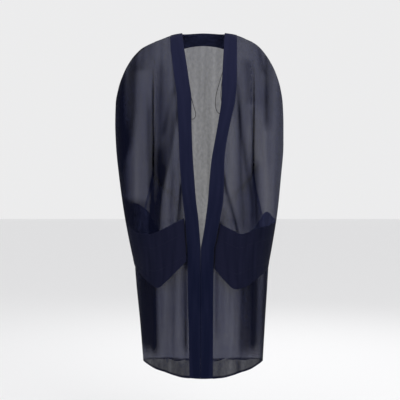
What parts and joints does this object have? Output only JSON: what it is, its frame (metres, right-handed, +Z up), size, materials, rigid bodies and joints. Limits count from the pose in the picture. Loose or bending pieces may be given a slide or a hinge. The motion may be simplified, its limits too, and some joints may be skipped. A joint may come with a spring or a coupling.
{
  "type": "bisht cloak",
  "caption": "Sheer navy bisht cloak, worn open, with wide hanging sleeves, opaque front bands, neck band and deep cuffs, and a fine cord loop inside each front",
  "frame": {"origin": "On the shoulder line, midway between the two neck points, where the cloak rests on the wearer's shoulders.", "axes": "+Z up along the wearer's height. The wearer faces -Y, so the opening is at -Y, and the wearer's left is +X."},
  "size_m": [0.707, 0.3671, 1.4179],
  "materials": {
    "sheer_navy": "sheer, fine plain weave with a dull sheen",
    "navy_crepe": "opaque, matt",
    "dark_cord": "fine twisted cord, matt"
  },
  "bodies": {
    "root": {"back_panel": "sheer_navy", "front_panel_right": "sheer_navy", "front_panel_left": "sheer_navy", "sleeve_right": "sheer_navy", "sleeve_left": "sheer_navy", "cuff_right": "navy_crepe", "cuff_left": "navy_crepe", "front_band_right": "navy_crepe", "front_band_left": "navy_crepe", "neck_band": "navy_crepe", "cord_loop_right": "dark_cord", "cord_loop_left": "dark_cord"}
  },
  "joints": []
}
